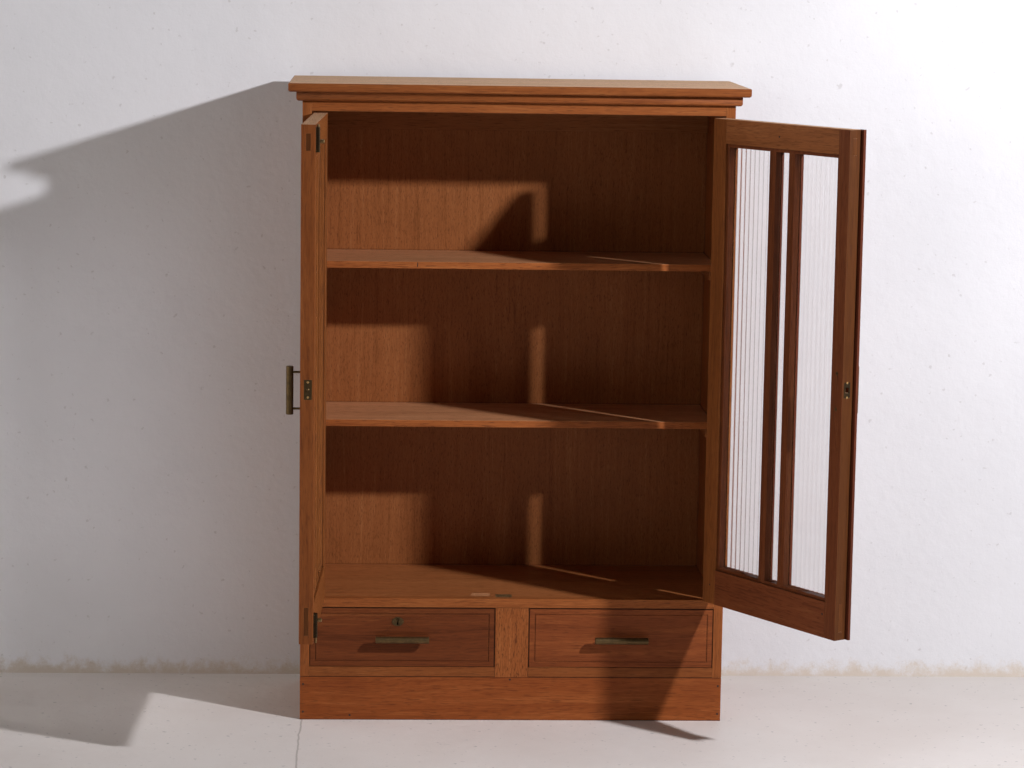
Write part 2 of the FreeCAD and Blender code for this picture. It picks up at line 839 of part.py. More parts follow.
def drawer_side_levels():
    return bottom_top + drawer_run_clearance, mid_rail_bottom - drawer_top_clearance


def drawer_side_span(side, outer):
    """The x faces of one side; outer picks the one with the larger x."""
    low, high = drawer_span(side)
    if outer:
        return high - drawer_side_clearance - drawer_side_thickness, high - drawer_side_clearance
    return low + drawer_side_clearance, low + drawer_side_clearance + drawer_side_thickness


def dovetails(side, outer):
    """The tails at the front end of one side, fanned out towards the face."""
    x0, x1 = drawer_side_span(side, outer)
    z0, z1 = drawer_side_levels()
    pitch = (z1 - z0) / dovetail_count
    half_root = pitch * dovetail_root_share / 2
    y_root, y_tip = front_y + drawer_front_thickness, front_y + dovetail_lap
    half_tip = half_root + (y_root - y_tip) / dovetail_slope
    tails = []
    for i in range(dovetail_count):
        middle = z0 + i * pitch + pitch / 2
        outline = [Vector(x0, y_root, middle - half_root), Vector(x0, y_root, middle + half_root),
                   Vector(x0, y_tip, middle + half_tip), Vector(x0, y_tip, middle - half_tip)]
        tails.append(prism(outline, Vector(x1 - x0, 0, 0)))
    return tails


def drawer_bottom(side):
    low, high = drawer_side_span(side, False)[1], drawer_side_span(side, True)[0]
    z0 = drawer_side_levels()[0] + drawer_bottom_rise
    return block(low - drawer_groove_depth, high + drawer_groove_depth,
                 front_y + drawer_front_thickness - drawer_groove_depth, drawer_rear_y,
                 z0, z0 + drawer_bottom_thickness)


def drawer_back(side):
    low, high = drawer_side_span(side, False)[1], drawer_side_span(side, True)[0]
    z0 = drawer_side_levels()[0] + drawer_bottom_rise + drawer_bottom_thickness
    y1 = drawer_rear_y - drawer_back_inset
    return block(low - drawer_groove_depth, high + drawer_groove_depth, y1 - drawer_back_thickness, y1,
                 z0, drawer_side_levels()[1])


def drawer_side(side, outer):
    x0, x1 = drawer_side_span(side, outer)
    z0, z1 = drawer_side_levels()
    board = block(x0, x1, front_y + drawer_front_thickness, drawer_rear_y, z0, z1)
    return cut(fuse(board, *dovetails(side, outer)), drawer_bottom(side), drawer_back(side))


def drawer_front_limits(side):
    low, high = drawer_span(side)
    gap = drawer_front_gap
    return low + gap, high - gap, bottom_top + gap, mid_rail_bottom - gap


def front_groove(side):
    """The incised line round the drawer front."""
    x0, x1, z0, z1 = drawer_front_limits(side)
    a, b = front_groove_inset, front_groove_inset + front_groove_width
    y1 = front_y + front_groove_depth
    return cut(block(x0 + a, x1 - a, front_y, y1, z0 + a, z1 - a),
               block(x0 + b, x1 - b, front_y, y1, z0 + b, z1 - b))


def drawer_front(side):
    x0, x1, z0, z1 = drawer_front_limits(side)
    front = block(x0, x1, front_y, front_y + drawer_front_thickness, z0, z1)
    tools = dovetails(side, False) + dovetails(side, True) + [drawer_bottom(side), front_groove(side)]
    tools += post_holes(*drawer_pull(side), drawer_front_thickness)
    if side < 0:
        tools += [lock_case_blank(), keyhole(front_y, front_y + drawer_front_thickness)]
    return cut(front, *tools)


def drawer_pull(side):
    middle = Vector(drawer_middle_x(side), front_y - bar_standoff, drawer_pull_height)
    return middle, X_AXIS, drawer_bar_length, Vector(0, -1, 0)


# Lock of the left drawer

def lock_x():
    return drawer_middle_x(-1) + lock_offset


def lock_top():
    return drawer_front_limits(-1)[3]


def lock_case_blank():
    y1 = front_y + drawer_front_thickness
    half = lock_width / 2
    top = lock_top()
    return block(lock_x() - half, lock_x() + half, y1 - lock_depth, y1, top - lock_height, top)


def lock_bolt_limits(clearance):
    """The bolt's x and y faces, grown by a clearance."""
    half_x = lock_bolt_width / 2 + clearance
    half_y = lock_bolt_thickness / 2 + clearance
    y = front_y + drawer_front_thickness - lock_depth / 2
    return lock_x() - half_x, lock_x() + half_x, y - half_y, y + half_y


def lock_case():
    """The case with the bolt's slot in its top and the pin that the key turns on."""
    slot_bottom = lock_top() - lock_bolt_height - lock_bolt_clearance
    slot = block(*lock_bolt_limits(lock_bolt_clearance), slot_bottom, lock_top())
    face_y = front_y + drawer_front_thickness - lock_depth
    z = lock_top() - keyhole_drop
    pin = rod(key_pin_radius, Vector(lock_x(), front_y + key_pin_setback, z), Vector(lock_x(), face_y, z))
    return fuse(cut(lock_case_blank(), slot), pin)


def lock_bolt():
    return block(*lock_bolt_limits(0), lock_top() - lock_bolt_height, lock_top())


def lock_mortise():
    """The slot in the rail above that the bolt shoots into."""
    end = lock_top() + lock_bolt_travel + lock_mortise_clearance
    return block(*lock_bolt_limits(lock_mortise_clearance), mid_rail_bottom, end)


def keyhole(y0, y1):
    """A round hole with a slot below it."""
    z = lock_top() - keyhole_drop
    hole = rod(keyhole_radius, Vector(lock_x(), y0, z), Vector(lock_x(), y1, z))
    half = keyhole_slot_width / 2
    return fuse(hole, block(lock_x() - half, lock_x() + half, y0, y1, z - keyhole_slot_length, z))


def escutcheon():
    """The oval plate round the keyhole."""
    z = lock_top() - keyhole_drop - escutcheon_drop
    half_w, half_h = escutcheon_width / 2, escutcheon_height / 2
    left, right = Vector(lock_x() - half_w, front_y, z), Vector(lock_x() + half_w, front_y, z)
    top, bottom = Vector(lock_x(), front_y, z + half_h), Vector(lock_x(), front_y, z - half_h)
    outline = [Part.Arc(left, top, right).toShape(), Part.Arc(right, bottom, left).toShape()]
    plate = Part.Face(Part.Wire(outline)).extrude(Vector(0, -escutcheon_thickness, 0))
    tips = [e for e in plate.Edges if abs(e.Length - escutcheon_thickness) < seam_tolerance]
    plate = plate.makeFillet(escutcheon_end_radius, tips)
    return cut(plate, keyhole(front_y - escutcheon_thickness, front_y))


def drawers():
    for side, hand in ((-1, "left"), (1, "right")):
        name = hand + "_drawer_"
        save(name + "front", drawer_front(side))
        save(name + "sides", drawer_side(side, False), drawer_side(side, True))
        save(name + "back", drawer_back(side))
        save(name + "bottom", drawer_bottom(side))
        save(name + "bar", pull_bar(*drawer_pull(side)))
        save(name + "posts", *pull_posts(*drawer_pull(side), drawer_front_thickness))
    save("drawer_lock_case", lock_case())
    save("drawer_lock_bolt", lock_bolt())
    save("drawer_escutcheon", escutcheon())


os.makedirs("parts", exist_ok=True)
carcass()
doors()
drawers()
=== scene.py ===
"""Looks of the shop display cabinet: materials, fixings, floor, wall, lights and camera."""
import math

import bmesh
import bpy
from mathutils import Matrix, Vector


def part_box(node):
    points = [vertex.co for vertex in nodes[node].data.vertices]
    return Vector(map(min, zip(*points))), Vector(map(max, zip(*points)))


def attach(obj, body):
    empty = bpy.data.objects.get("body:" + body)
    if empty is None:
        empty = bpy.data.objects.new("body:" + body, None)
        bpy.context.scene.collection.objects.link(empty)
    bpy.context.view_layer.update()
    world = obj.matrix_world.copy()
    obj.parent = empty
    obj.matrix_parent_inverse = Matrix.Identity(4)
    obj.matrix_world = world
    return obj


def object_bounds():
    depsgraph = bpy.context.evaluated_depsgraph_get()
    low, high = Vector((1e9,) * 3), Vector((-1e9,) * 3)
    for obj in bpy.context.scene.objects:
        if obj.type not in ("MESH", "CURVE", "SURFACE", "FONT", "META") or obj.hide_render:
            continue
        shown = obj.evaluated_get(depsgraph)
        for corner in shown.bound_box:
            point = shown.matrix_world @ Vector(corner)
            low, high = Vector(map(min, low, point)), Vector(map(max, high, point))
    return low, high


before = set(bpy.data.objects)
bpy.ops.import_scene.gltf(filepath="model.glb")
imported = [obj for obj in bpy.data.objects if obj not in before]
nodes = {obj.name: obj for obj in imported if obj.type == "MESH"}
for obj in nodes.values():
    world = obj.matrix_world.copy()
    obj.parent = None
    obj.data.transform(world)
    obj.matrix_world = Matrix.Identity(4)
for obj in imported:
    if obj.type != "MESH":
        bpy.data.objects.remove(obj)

cad_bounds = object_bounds()
scene = bpy.context.scene

X, Y, Z = Vector((1, 0, 0)), Vector((0, 1, 0)), Vector((0, 0, 1))
mm = 0.001

# Door frame, as in the CAD: s runs from the hinge edge, t inwards from the closed front face
door_edge_x = 476.5 * mm
door_width = 475.5 * mm
door_thickness = 31 * mm
front_y = -10 * mm
hinge_axis = Vector((477.25, -14.4, 0)) * mm
left_open_angle = math.radians(-92)
right_open_angle = math.radians(122)


def door_turn(side):
    return Matrix.Rotation(left_open_angle if side < 0 else right_open_angle, 3, "Z")


# Ways across the open doors, from the hinge edge to the meeting edge
left_door_run = door_turn(-1) @ X
right_door_run = door_turn(1) @ -X


def mirrored(point):
    return Vector((-point.x, point.y, point.z))


def on_door(side, s, t, z):
    """A point on the open door, from its place on the closed one."""
    closed = Vector((side * (door_edge_x - s), front_y + t, z))
    axis = Vector((side * hinge_axis.x, hinge_axis.y, 0))
    return axis + door_turn(side) @ (closed - axis)


# Camera, fitted to the photograph
camera_place = Vector((-0.3142, -6.7565, 1.7949))
camera_yaw = math.radians(2.593)
camera_pitch = math.radians(-8.319)
camera_roll = math.radians(0.875)
camera_lens = 102.7
camera_sensor = 36.0
camera_reach = 100


def make_camera():
    forward = Vector((math.sin(camera_yaw) * math.cos(camera_pitch),
                      math.cos(camera_yaw) * math.cos(camera_pitch), math.sin(camera_pitch)))
    level = Vector((math.cos(camera_yaw), -math.sin(camera_yaw), 0))
    upright = level.cross(forward)
    right = math.cos(camera_roll) * level + math.sin(camera_roll) * upright
    up = math.cos(camera_roll) * upright - math.sin(camera_roll) * level
    turn = Matrix((right, up, -forward)).transposed().to_4x4()
    camera = bpy.data.objects.new("camera", bpy.data.cameras.new("camera"))
    camera.data.lens, camera.data.sensor_width = camera_lens, camera_sensor
    camera.data.clip_end = camera_reach
    camera.matrix_world = Matrix.Translation(camera_place) @ turn
    scene.collection.objects.link(camera)
    scene.camera = camera


# What the bevel and occlusion nodes give on a flat face and on an edge, in the open and in a gap
edge_samples, flat_dot, edge_dot = 4, 0.999, 0.93
crevice_samples, open_share, closed_share = 6, 0.80, 0.30


class Graph:
    """A node tree of a material or the world, with short calls that add nodes and link them."""

    def __init__(self, owner):
        owner.use_nodes = True
        self.tree = owner.node_tree
        self.tree.nodes.clear()

    def add(self, kind, inputs=None, **settings):
        node = self.tree.nodes.new("ShaderNode" + kind)
        for key, value in settings.items():
            setattr(node, key, value)
        for key, value in (inputs or {}).items():
            if isinstance(value, bpy.types.NodeSocket):
                self.tree.links.new(value, node.inputs[key])
            else:
                node.inputs[key].default_value = value
        return node

    def math(self, operation, a, b=0.0, clamp=False):
        return self.add("Math", {0: a, 1: b}, operation=operation, use_clamp=clamp).outputs[0]

    def times(self, a, b):
        return self.math("MULTIPLY", a, b)

    def plus(self, a, b, clamp=False):
        return self.math("ADD", a, b, clamp)

    def minus(self, a, b, clamp=False):
        return self.math("SUBTRACT", a, b, clamp)

    def most(self, a, b):
        return self.math("MAXIMUM", a, b)

    def absolute(self, value):
        return self.math("ABSOLUTE", value)

    def swing(self, noise, reach):
        """A noise of 0 to 1, made to swing about 0 by half of reach to each side."""
        return self.times(self.minus(noise, 0.5), reach)

    def vector(self, operation, a, b=(0.0, 0.0, 0.0)):
        node = self.add("VectorMath", {0: a, 1: b}, operation=operation)
        return node.outputs["Value" if operation == "DOT_PRODUCT" else "Vector"]

    def along(self, vector, way):
        return self.vector("DOT_PRODUCT", vector, tuple(way))

    def noise(self, place, cells, detail=1.0, roughness=0.5):
        """Noise with this many cells to the metre along each axis."""
        scaled = self.vector("MULTIPLY", place, cells)
        return self.add("TexNoise", {"Vector": scaled, "Scale": 1.0, "Detail": detail,
                                     "Roughness": roughness}).outputs[0]

    def ramp(self, value, low, high, start=0.0, end=1.0):
        """Value from low..high to start..end, clamped and smoothed."""
        return self.add("MapRange", {0: value, 1: low, 2: high, 3: start, 4: end},
                        interpolation_type="SMOOTHSTEP").outputs[0]

    def mix(self, factor, a, b, blend="MIX"):
        return self.add("Mix", {0: factor, 6: a, 7: b}, data_type="RGBA", blend_type=blend).outputs[2]

    def edges(self, radius):
        """1 on the arrises and in the corners, 0 on flat faces."""
        rounded = self.add("Bevel", {"Radius": radius}, samples=edge_samples).outputs[0]
        flat = self.add("NewGeometry").outputs["Normal"]
        return self.ramp(self.vector("DOT_PRODUCT", rounded, flat), flat_dot, edge_dot)

    def crevice(self, reach):
        """1 in joints, gaps and corners, where shade gathers, 0 in the open; used to paint shade there.
        """
        share = self.add("AmbientOcclusion", {"Distance": reach}, samples=crevice_samples).outputs["AO"]
        return self.ramp(share, open_share, closed_share)

    def bump(self, height, strength, depth):
        return self.add("Bump", {"Height": height, "Strength": strength, "Distance": depth}).outputs[0]

    def surface(self, colour, roughness, bump, others):
        return self.add("BsdfPrincipled", {"Base Color": colour, "Roughness": roughness, "Normal": bump,
                                           **others}).outputs[0]

    def output(self, shader):
        self.add("OutputMaterial", {0: shader})


def new_material(name):
    material = bpy.data.materials.new(name)
    return material, Graph(material)


def rgba(colour, gain=1.0):
    return (*(channel * gain for channel in colour), 1.0)


# Wood tones: dark streak, body, light streak, all linear
TONES = {
    "carcass": ((0.155, 0.040, 0.010), (0.265, 0.078, 0.020), (0.36, 0.125, 0.036)),
    "plinth": ((0.155, 0.034, 0.0085), (0.265, 0.067, 0.0155), (0.36, 0.108, 0.028)),
    "inside": ((0.19, 0.062, 0.018), (0.31, 0.106, 0.033), (0.40, 0.158, 0.056)),
    # shelf: the shelf tops, dust with a painted sheen
    "shelf": ((0.37, 0.155, 0.064), (0.52, 0.235, 0.105), (0.62, 0.31, 0.15)),
    "door": ((0.125, 0.038, 0.010), (0.225, 0.070, 0.017), (0.30, 0.106, 0.028)),
    "door_red": ((0.095, 0.025, 0.008), (0.180, 0.048, 0.015), (0.25, 0.082, 0.027)),
    "door_face": ((0.080, 0.018, 0.008), (0.14, 0.033, 0.014), (0.20, 0.055, 0.022)),
    "drawer": ((0.095, 0.024, 0.007), (0.170, 0.043, 0.012), (0.245, 0.072, 0.020)),
    "dusty": ((0.36, 0.185, 0.092), (0.50, 0.28, 0.155), (0.60, 0.37, 0.22)),
    # The top board's top face: dust with a painted sheen
    "dust_and_sheen": ((0.60, 0.37, 0.23), (0.78, 0.50, 0.32), (0.86, 0.60, 0.42)),
    "raw": ((0.26, 0.12, 0.05), (0.37, 0.19, 0.085), (0.46, 0.26, 0.13)),
}
DULL_TONES = ("dusty", "shelf", "dust_and_sheen")
oiled_gloss, dull_gloss = 0.46, 0.75
pore_colour = (0.075, 0.022, 0.008)
worn_gain = 1.5

# Wood noises: cells to the metre along the grain and across it, and the span of values that shows
seed_steps = (1.37, 0.73, 0.29)
bend_cells = (1.3, 5, 5)
band_cells = (0.8, 17, 17)
streak_cells = (3, 130, 130)
dash_cells, dash_span = (17, 300, 300), (0.50, 0.68)
fibre_cells = (18, 520, 520)
pore_cells, pore_span = (36, 640, 640), (0.56, 0.70)
rub_cells, rub_span = (9, 60, 60), (0.42, 0.62)
grime_cells, grime_span, grime_most = (7, 7, 7), (0.50, 0.75), 0.22
bend_reach = 50 * mm
streak_reach, fibre_reach = 1.1, 0.9

# Wood: pores, end grain, wear on the edges, painted shade with dirt in gaps and joints, polish and
# relief
pore_strength = 0.2
end_grain_span, end_grain_dark = (0.7, 0.95), 0.62
wear_radius = 1.6 * mm
rubbed_wear, least_wear = 0.45, 0.10
joint_width = 1.8 * mm
joint_core = 0.3
# Painted shade with dirt in gaps and joints: its reach, strength and darkness
wood_crevice, wood_shade_and_dirt, shade_and_dirt_gain = 5 * mm, 0.8, 0.35
streak_polish, pore_polish, polish_shift = 0.16, 0.15, -0.08
streak_relief, fibre_relief, pore_relief = 0.5, 0.35, 0.6
wood_bump, wood_bump_depth = 0.35, 0.3 * mm
wood_specular = 0.12


def closer(cells, factor):
    """The same cells with factor times as many along the grain."""
    return (cells[0] * factor, *cells[1:])


def wood(name, tone, grain, seed, gain=1.0, figure=0.9, fleck=0.30, speck=1.0, gloss=oiled_gloss,
         joints=()):
    """Oiled hardwood: bands, streaks, fibres and pores run along grain, the ends are darker.

    joints are planes, as (direction, distance), along which dirt has gathered and a dark line of painted
    shade stands for the gap there.
    """
    material, g = new_material(name)
    coords = g.add("TexCoord")
    place = coords.outputs["Object"]
    turn = X.rotation_difference(grain).to_euler()
    shift = tuple(seed * step for step in seed_steps)
    board = g.add("Mapping", {"Vector": place, "Location": shift, "Rotation": turn},
                  vector_type="TEXTURE").outputs[0]
    bend = g.swing(g.noise(board, bend_cells), bend_reach)
    board = g.vector("ADD", board, g.add("CombineXYZ", {1: bend, 2: bend}).outputs[0])
    bands = g.noise(board, band_cells, 2)
    streaks = g.noise(board, streak_cells, 3, 0.6)
    dashes = g.ramp(g.noise(board, closer(dash_cells, speck), 2, 0.6), *dash_span)
    fibres = g.noise(board, closer(fibre_cells, speck), 2, 0.6)
    pores = g.ramp(g.noise(board, closer(pore_cells, speck), 1), *pore_span)

    shade = g.plus(g.swing(bands, figure), g.swing(streaks, streak_reach))
    shade = g.plus(g.plus(shade, g.swing(fibres, fibre_reach)), 0.5, clamp=True)
    dark, body, light = (rgba(colour, gain) for colour in TONES[tone])
    colour = g.mix(g.ramp(shade, 0.0, 0.5), dark, body)
    colour = g.mix(g.ramp(shade, 0.5, 1.0), colour, light)
    colour = g.mix(g.times(dashes, fleck), colour, dark)
    colour = g.mix(g.times(pores, fleck + pore_strength), colour, rgba(pore_colour))

    end_grain = g.absolute(g.along(coords.outputs["Normal"], grain))
    colour = g.mix(g.ramp(end_grain, *end_grain_span, 0.0, end_grain_dark), colour, rgba(pore_colour))
    rubbed = g.ramp(g.noise(board, rub_cells, 2), *rub_span)
    worn = g.times(g.edges(wear_radius), g.plus(g.times(rubbed, rubbed_wear), least_wear))
    colour = g.mix(worn, colour, rgba(TONES[tone][2], gain * worn_gain))
    grime = g.noise(place, grime_cells, 3, 0.6)
    colour = g.mix(g.ramp(grime, *grime_span, 0.0, grime_most), colour, dark)
    # Painted shade: darker in gaps and corners and along the joints, together with the dirt there
    shade_and_dirt = g.crevice(wood_crevice)
    for way, distance in joints:
        off = g.absolute(g.minus(g.along(place, way), distance))
        shade_and_dirt = g.most(shade_and_dirt, g.ramp(off, joint_core * joint_width, joint_width, 1.0, 0.0))
    colour = g.mix(g.times(shade_and_dirt, wood_shade_and_dirt), colour, rgba(pore_colour, shade_and_dirt_gain))

    polish = g.plus(g.times(streaks, streak_polish), gloss + polish_shift)
    polish = g.plus(polish, g.times(pores, pore_polish))
    height = g.plus(g.times(streaks, streak_relief), g.times(fibres, fibre_relief))
    height = g.minus(height, g.times(pores, pore_relief))
    bump = g.bump(height, wood_bump, wood_bump_depth)
    g.output(g.surface(colour, polish, bump, {"Specular IOR Level": wood_specular}))
    return material


# Metal colours, linear
brass_bright = (0.45, 0.28, 0.11)
brass_brown = (0.150, 0.092, 0.042)
brass_green = (0.10, 0.105, 0.045)
brass_shade_and_dirt = (0.02, 0.016, 0.008)
iron_dark = (0.018, 0.012, 0.010)
iron_rust = (0.055, 0.025, 0.014)

# Metal noises, in cells to the metre, and how much of each shows
cloud_cells, metal_fine_cells, green_cells, rust_cells = (70,) * 3, (900,) * 3, (120,) * 3, (700,) * 3
stain_span, green_span, rust_span = (0.30, 0.85), (0.56, 0.75), (0.4, 0.65)
fine_stain, stain_cover, cover_shift, green_most = 0.10, 0.5, -0.15, 0.35
brass_wear_radius, brass_wear = 0.8 * mm, 0.45
brass_crevice, brass_shade_and_dirt_strength = 2.5 * mm, 0.85
bright_roughness, tarnished_roughness, iron_roughness = 0.30, 0.56, 0.7
brass_bump, fine_relief, iron_bump, metal_bump_depth = 0.25, 0.4, 0.5, 0.2 * mm
iron_metallic = 0.3


def brass(name, gain=1.0, tarnish=0.55, metallic=0.85):
    """Old brass: worn warm metal under green-brown tarnish, brighter on the edges."""
    material, g = new_material(name)
    place = g.add("TexCoord").outputs["Object"]
    cloud = g.noise(place, cloud_cells, 4, 0.6)
    fine = g.noise(place, metal_fine_cells, 2)
    stain = g.ramp(g.plus(cloud, g.times(fine, fine_stain)), *stain_span)
    worn = g.times(g.edges(brass_wear_radius), brass_wear)
    cover = g.minus(g.plus(g.times(stain, stain_cover), tarnish + cover_shift), worn, clamp=True)
    colour = g.mix(cover, rgba(brass_bright, gain), rgba(brass_brown, gain))
    green = g.ramp(g.noise(place, green_cells, 2), *green_span, 0.0, green_most)
    colour = g.mix(green, colour, rgba(brass_green, gain))
    # Painted shade with dirt: near black in gaps and corners
    colour = g.mix(g.times(g.crevice(brass_crevice), brass_shade_and_dirt_strength), colour, rgba(brass_shade_and_dirt))
    rough = g.ramp(cover, 0.0, 1.0, bright_roughness, tarnished_roughness)
    bump = g.bump(g.plus(cloud, g.times(fine, fine_relief)), brass_bump, metal_bump_depth)
    g.output(g.surface(colour, rough, bump, {"Metallic": metallic}))
    return material


def iron(name):
    """Rusted nail heads and dark holes."""
    material, g = new_material(name)
    rust = g.noise(g.add("TexCoord").outputs["Object"], rust_cells, 3, 0.6)
    colour = g.mix(g.ramp(rust, *rust_span), rgba(iron_dark), rgba(iron_rust))
    bump = g.bump(rust, iron_bump, metal_bump_depth)
    g.output(g.surface(colour, iron_roughness, bump, {"Metallic": iron_metallic}))
    return material


# Reeded glass: dust lies in the valleys from the hinge edge on, and again beside the muntins
glass_clean = (0.998, 0.995, 0.99)
glass_film = (0.97, 0.965, 0.955)
glass_dust = (0.42, 0.38, 0.36)
shadow_pass = 0.30
dust_most, dust_least = 0.9, 0.12
dust_thins = (150 * mm, 220 * mm)
dusty_lines = (225 * mm, 292 * mm)
dusty_half_width = (9 * mm, 14 * mm)
valley_tilt = (0.13, 0.21)
film_cells, film_span, film_roughness = (30, 30, 12), (0.35, 0.8), (0.02, 0.12)
film_colour_span = (0.3, 0.8)
dust_roughness = 0.2
ripple_cells, ripple_bump, ripple_depth = (26, 26, 7), 0.06, 0.5 * mm
glass_ior = 1.5


def glass(name, run, axis):
    """Clear reeded glass. Part of the light passes straight through."""
    material, g = new_material(name)
    coords = g.add("TexCoord")
    place = coords.outputs["Object"]
    film = g.noise(place, film_cells, 4, 0.7)
    across = g.minus(g.along(place, run), axis.dot(run))
    level = g.ramp(across, *dust_thins, dust_most, dust_least)
    for middle in dusty_lines:
        off = g.absolute(g.minus(across, middle))
        level = g.most(level, g.ramp(off, *dusty_half_width, dust_most, 0.0))
    tilt = g.absolute(g.along(coords.outputs["Normal"], run))
    valley = g.times(g.ramp(tilt, *valley_tilt), level)
    rough = g.plus(g.ramp(film, *film_span, *film_roughness), g.times(valley, dust_roughness))
    colour = g.mix(g.ramp(film, *film_colour_span), rgba(glass_clean), rgba(glass_film))
    colour = g.mix(valley, colour, rgba(glass_dust))
    bump = g.bump(g.noise(place, ripple_cells, 2), ripple_bump, ripple_depth)
    solid = g.surface(colour, rough, bump, {"IOR": glass_ior, "Transmission Weight": 1.0})
    clear = g.add("BsdfTransparent", {0: rgba((shadow_pass,) * 3)}).outputs[0]
    shadow = g.add("LightPath").outputs["Is Shadow Ray"]
    g.output(g.add("MixShader", {0: shadow, 1: solid, 2: clear}).outputs[0])
    return material


# Each wooden node's tone, grain and strength of colour
BOARDS = {
    "left_side": ("carcass", Z, 1.0), "right_side": ("carcass", Z, 1.0),
    "back_panel": ("inside", Z, 1.0), "drawer_divider": ("carcass", Z, 1.10),
    "top_board": ("carcass", X, 0.95), "cornice_moulding": ("carcass", X, 1.0),
    "frieze_rail": ("carcass", X, 1.05), "back_top_rail": ("inside", X, 0.95),
    "mid_rail": ("carcass", X, 1.1), "bottom_board": ("carcass", X, 0.85),
    "plinth": ("plinth", X, 0.95), "cabinet_floor": ("inside", X, 1.05),
    "shelves": ("carcass", X, 1.35), "shelf_cleats": ("inside", Y, 0.9),
    "drawer_guide": ("raw", Y, 0.9),
    "left_drawer_front": ("drawer", X, 0.86), "right_drawer_front": ("drawer", X, 1.25),
    "right_astragal": ("door_face", Z, 0.7),
}
for hand, run in (("left", left_door_run), ("right", right_door_run)):
    for part in ("hinge_stile", "meeting_stile", "muntins", "glazing_beads"):
        BOARDS[f"{hand}_{part}"] = ("door", Z, 1.0)
    for part in ("top_rail", "bottom_rail"):
        BOARDS[f"{hand}_{part}"] = ("door", run, 1.0)
    BOARDS[f"{hand}_drawer_sides"] = ("raw", Y, 1.0)
    BOARDS[f"{hand}_drawer_back"] = ("raw", X, 0.95)
    BOARDS[f"{hand}_drawer_bottom"] = ("raw", X, 0.85)
BOARDS["left_meeting_stile"] = ("carcass", Z, 0.85)
for part in ("meeting_stile", "muntins", "glazing_beads"):
    BOARDS[f"right_{part}"] = ("door_red", Z, 0.85)
BOARDS["right_bottom_rail"] = ("door_red", right_door_run, 1.0)
BOARDS["right_top_rail"] = ("inside", right_door_run, 0.88)

# Faces coloured apart from the rest of their node: node, the way that they face, tone, grain, gain
FACES = [
    # The shelf tops: dust with a painted sheen.
    # The top board's top face: dust with a painted sheen.
    ("shelves", Z, "shelf", X, 1.0), ("top_board", Z, "dust_and_sheen", X, 1.14),
    ("cabinet_floor", Z, "inside", X, 1.15),
    # Painted shade: the meeting stiles' edge faces are darkened, the right one much, as if out of the
    # light
    ("right_meeting_stile", right_door_run, "door", Z, 0.38),
    ("left_meeting_stile", left_door_run, "carcass", Z, 0.82),
]
for hand, side, run in (("left", -1, left_door_run), ("right", 1, right_door_run)):
    outside = door_turn(side) @ -Y
    for part in ("hinge_stile", "meeting_stile", "top_rail"):
        FACES.append((f"{hand}_{part}", Z, "dusty", run, 1.1))
    for part in ("top_rail", "bottom_rail"):
        FACES.append((f"{hand}_{part}", run, "door", Z, 0.45))
    # The muntins' sides: dust, with painted shade from the glass beside them, in the darker face tone
    for way in (run, -run):
        FACES.append((f"{hand}_muntins", way, "door_face", Z, 0.9))
    for part, grain in (("hinge_stile", Z), ("meeting_stile", Z), ("muntins", Z),
                        ("top_rail", run), ("bottom_rail", run)):
        FACES.append((f"{hand}_{part}", outside, "door_face", grain, 1.0))
facing_limit = 0.98
first_face_seed = 101

# What differs from the usual wood on one node
TRAITS = {
    "back_panel": {"figure": 0.35, "speck": 3.0, "fleck": 0.25},
    "drawer_divider": {"figure": 0.6, "speck": 2.5, "fleck": 0.6},
    "left_meeting_stile": {"fleck": 0.15}, "shelves": {"fleck": 0.45}, "cabinet_floor": {"speck": 2.0},
}

# Boards with dirt and a painted shade line in the joints along the sides of their box: axis and end of
# the box, 0 low or 1 high
JOINT_SHADE_AND_DIRT = {
    "plinth": ((2, 1), (2, 0)), "bottom_board": ((2, 0),), "drawer_divider": ((0, 0), (0, 1)),
    "left_drawer_front": ((0, 0), (0, 1), (2, 1)), "right_drawer_front": ((0, 0), (0, 1), (2, 1)),
    "mid_rail": ((2, 0),), "frieze_rail": ((2, 0),), "left_side": ((2, 0),), "right_side": ((2, 0),),
}

weld_distance = 0.005 * mm
wood_bevel = 0.9 * mm
brass_bevel = 0.25 * mm
bevel_segments = 2
sharp_angle = math.radians(40)
normal_weight = 80


def soften(piece, width):
    """Joins the faces that the import split, then rounds the arrises."""
    weld = piece.modifiers.new("weld", "WELD")
    weld.merge_threshold = weld_distance
    bevel = piece.modifiers.new("bevel", "BEVEL")
    bevel.width, bevel.segments = width, bevel_segments
    bevel.limit_method, bevel.angle_limit = "ANGLE", sharp_angle
    normals = piece.modifiers.new("normals", "WEIGHTED_NORMAL")
    normals.weight = normal_weight


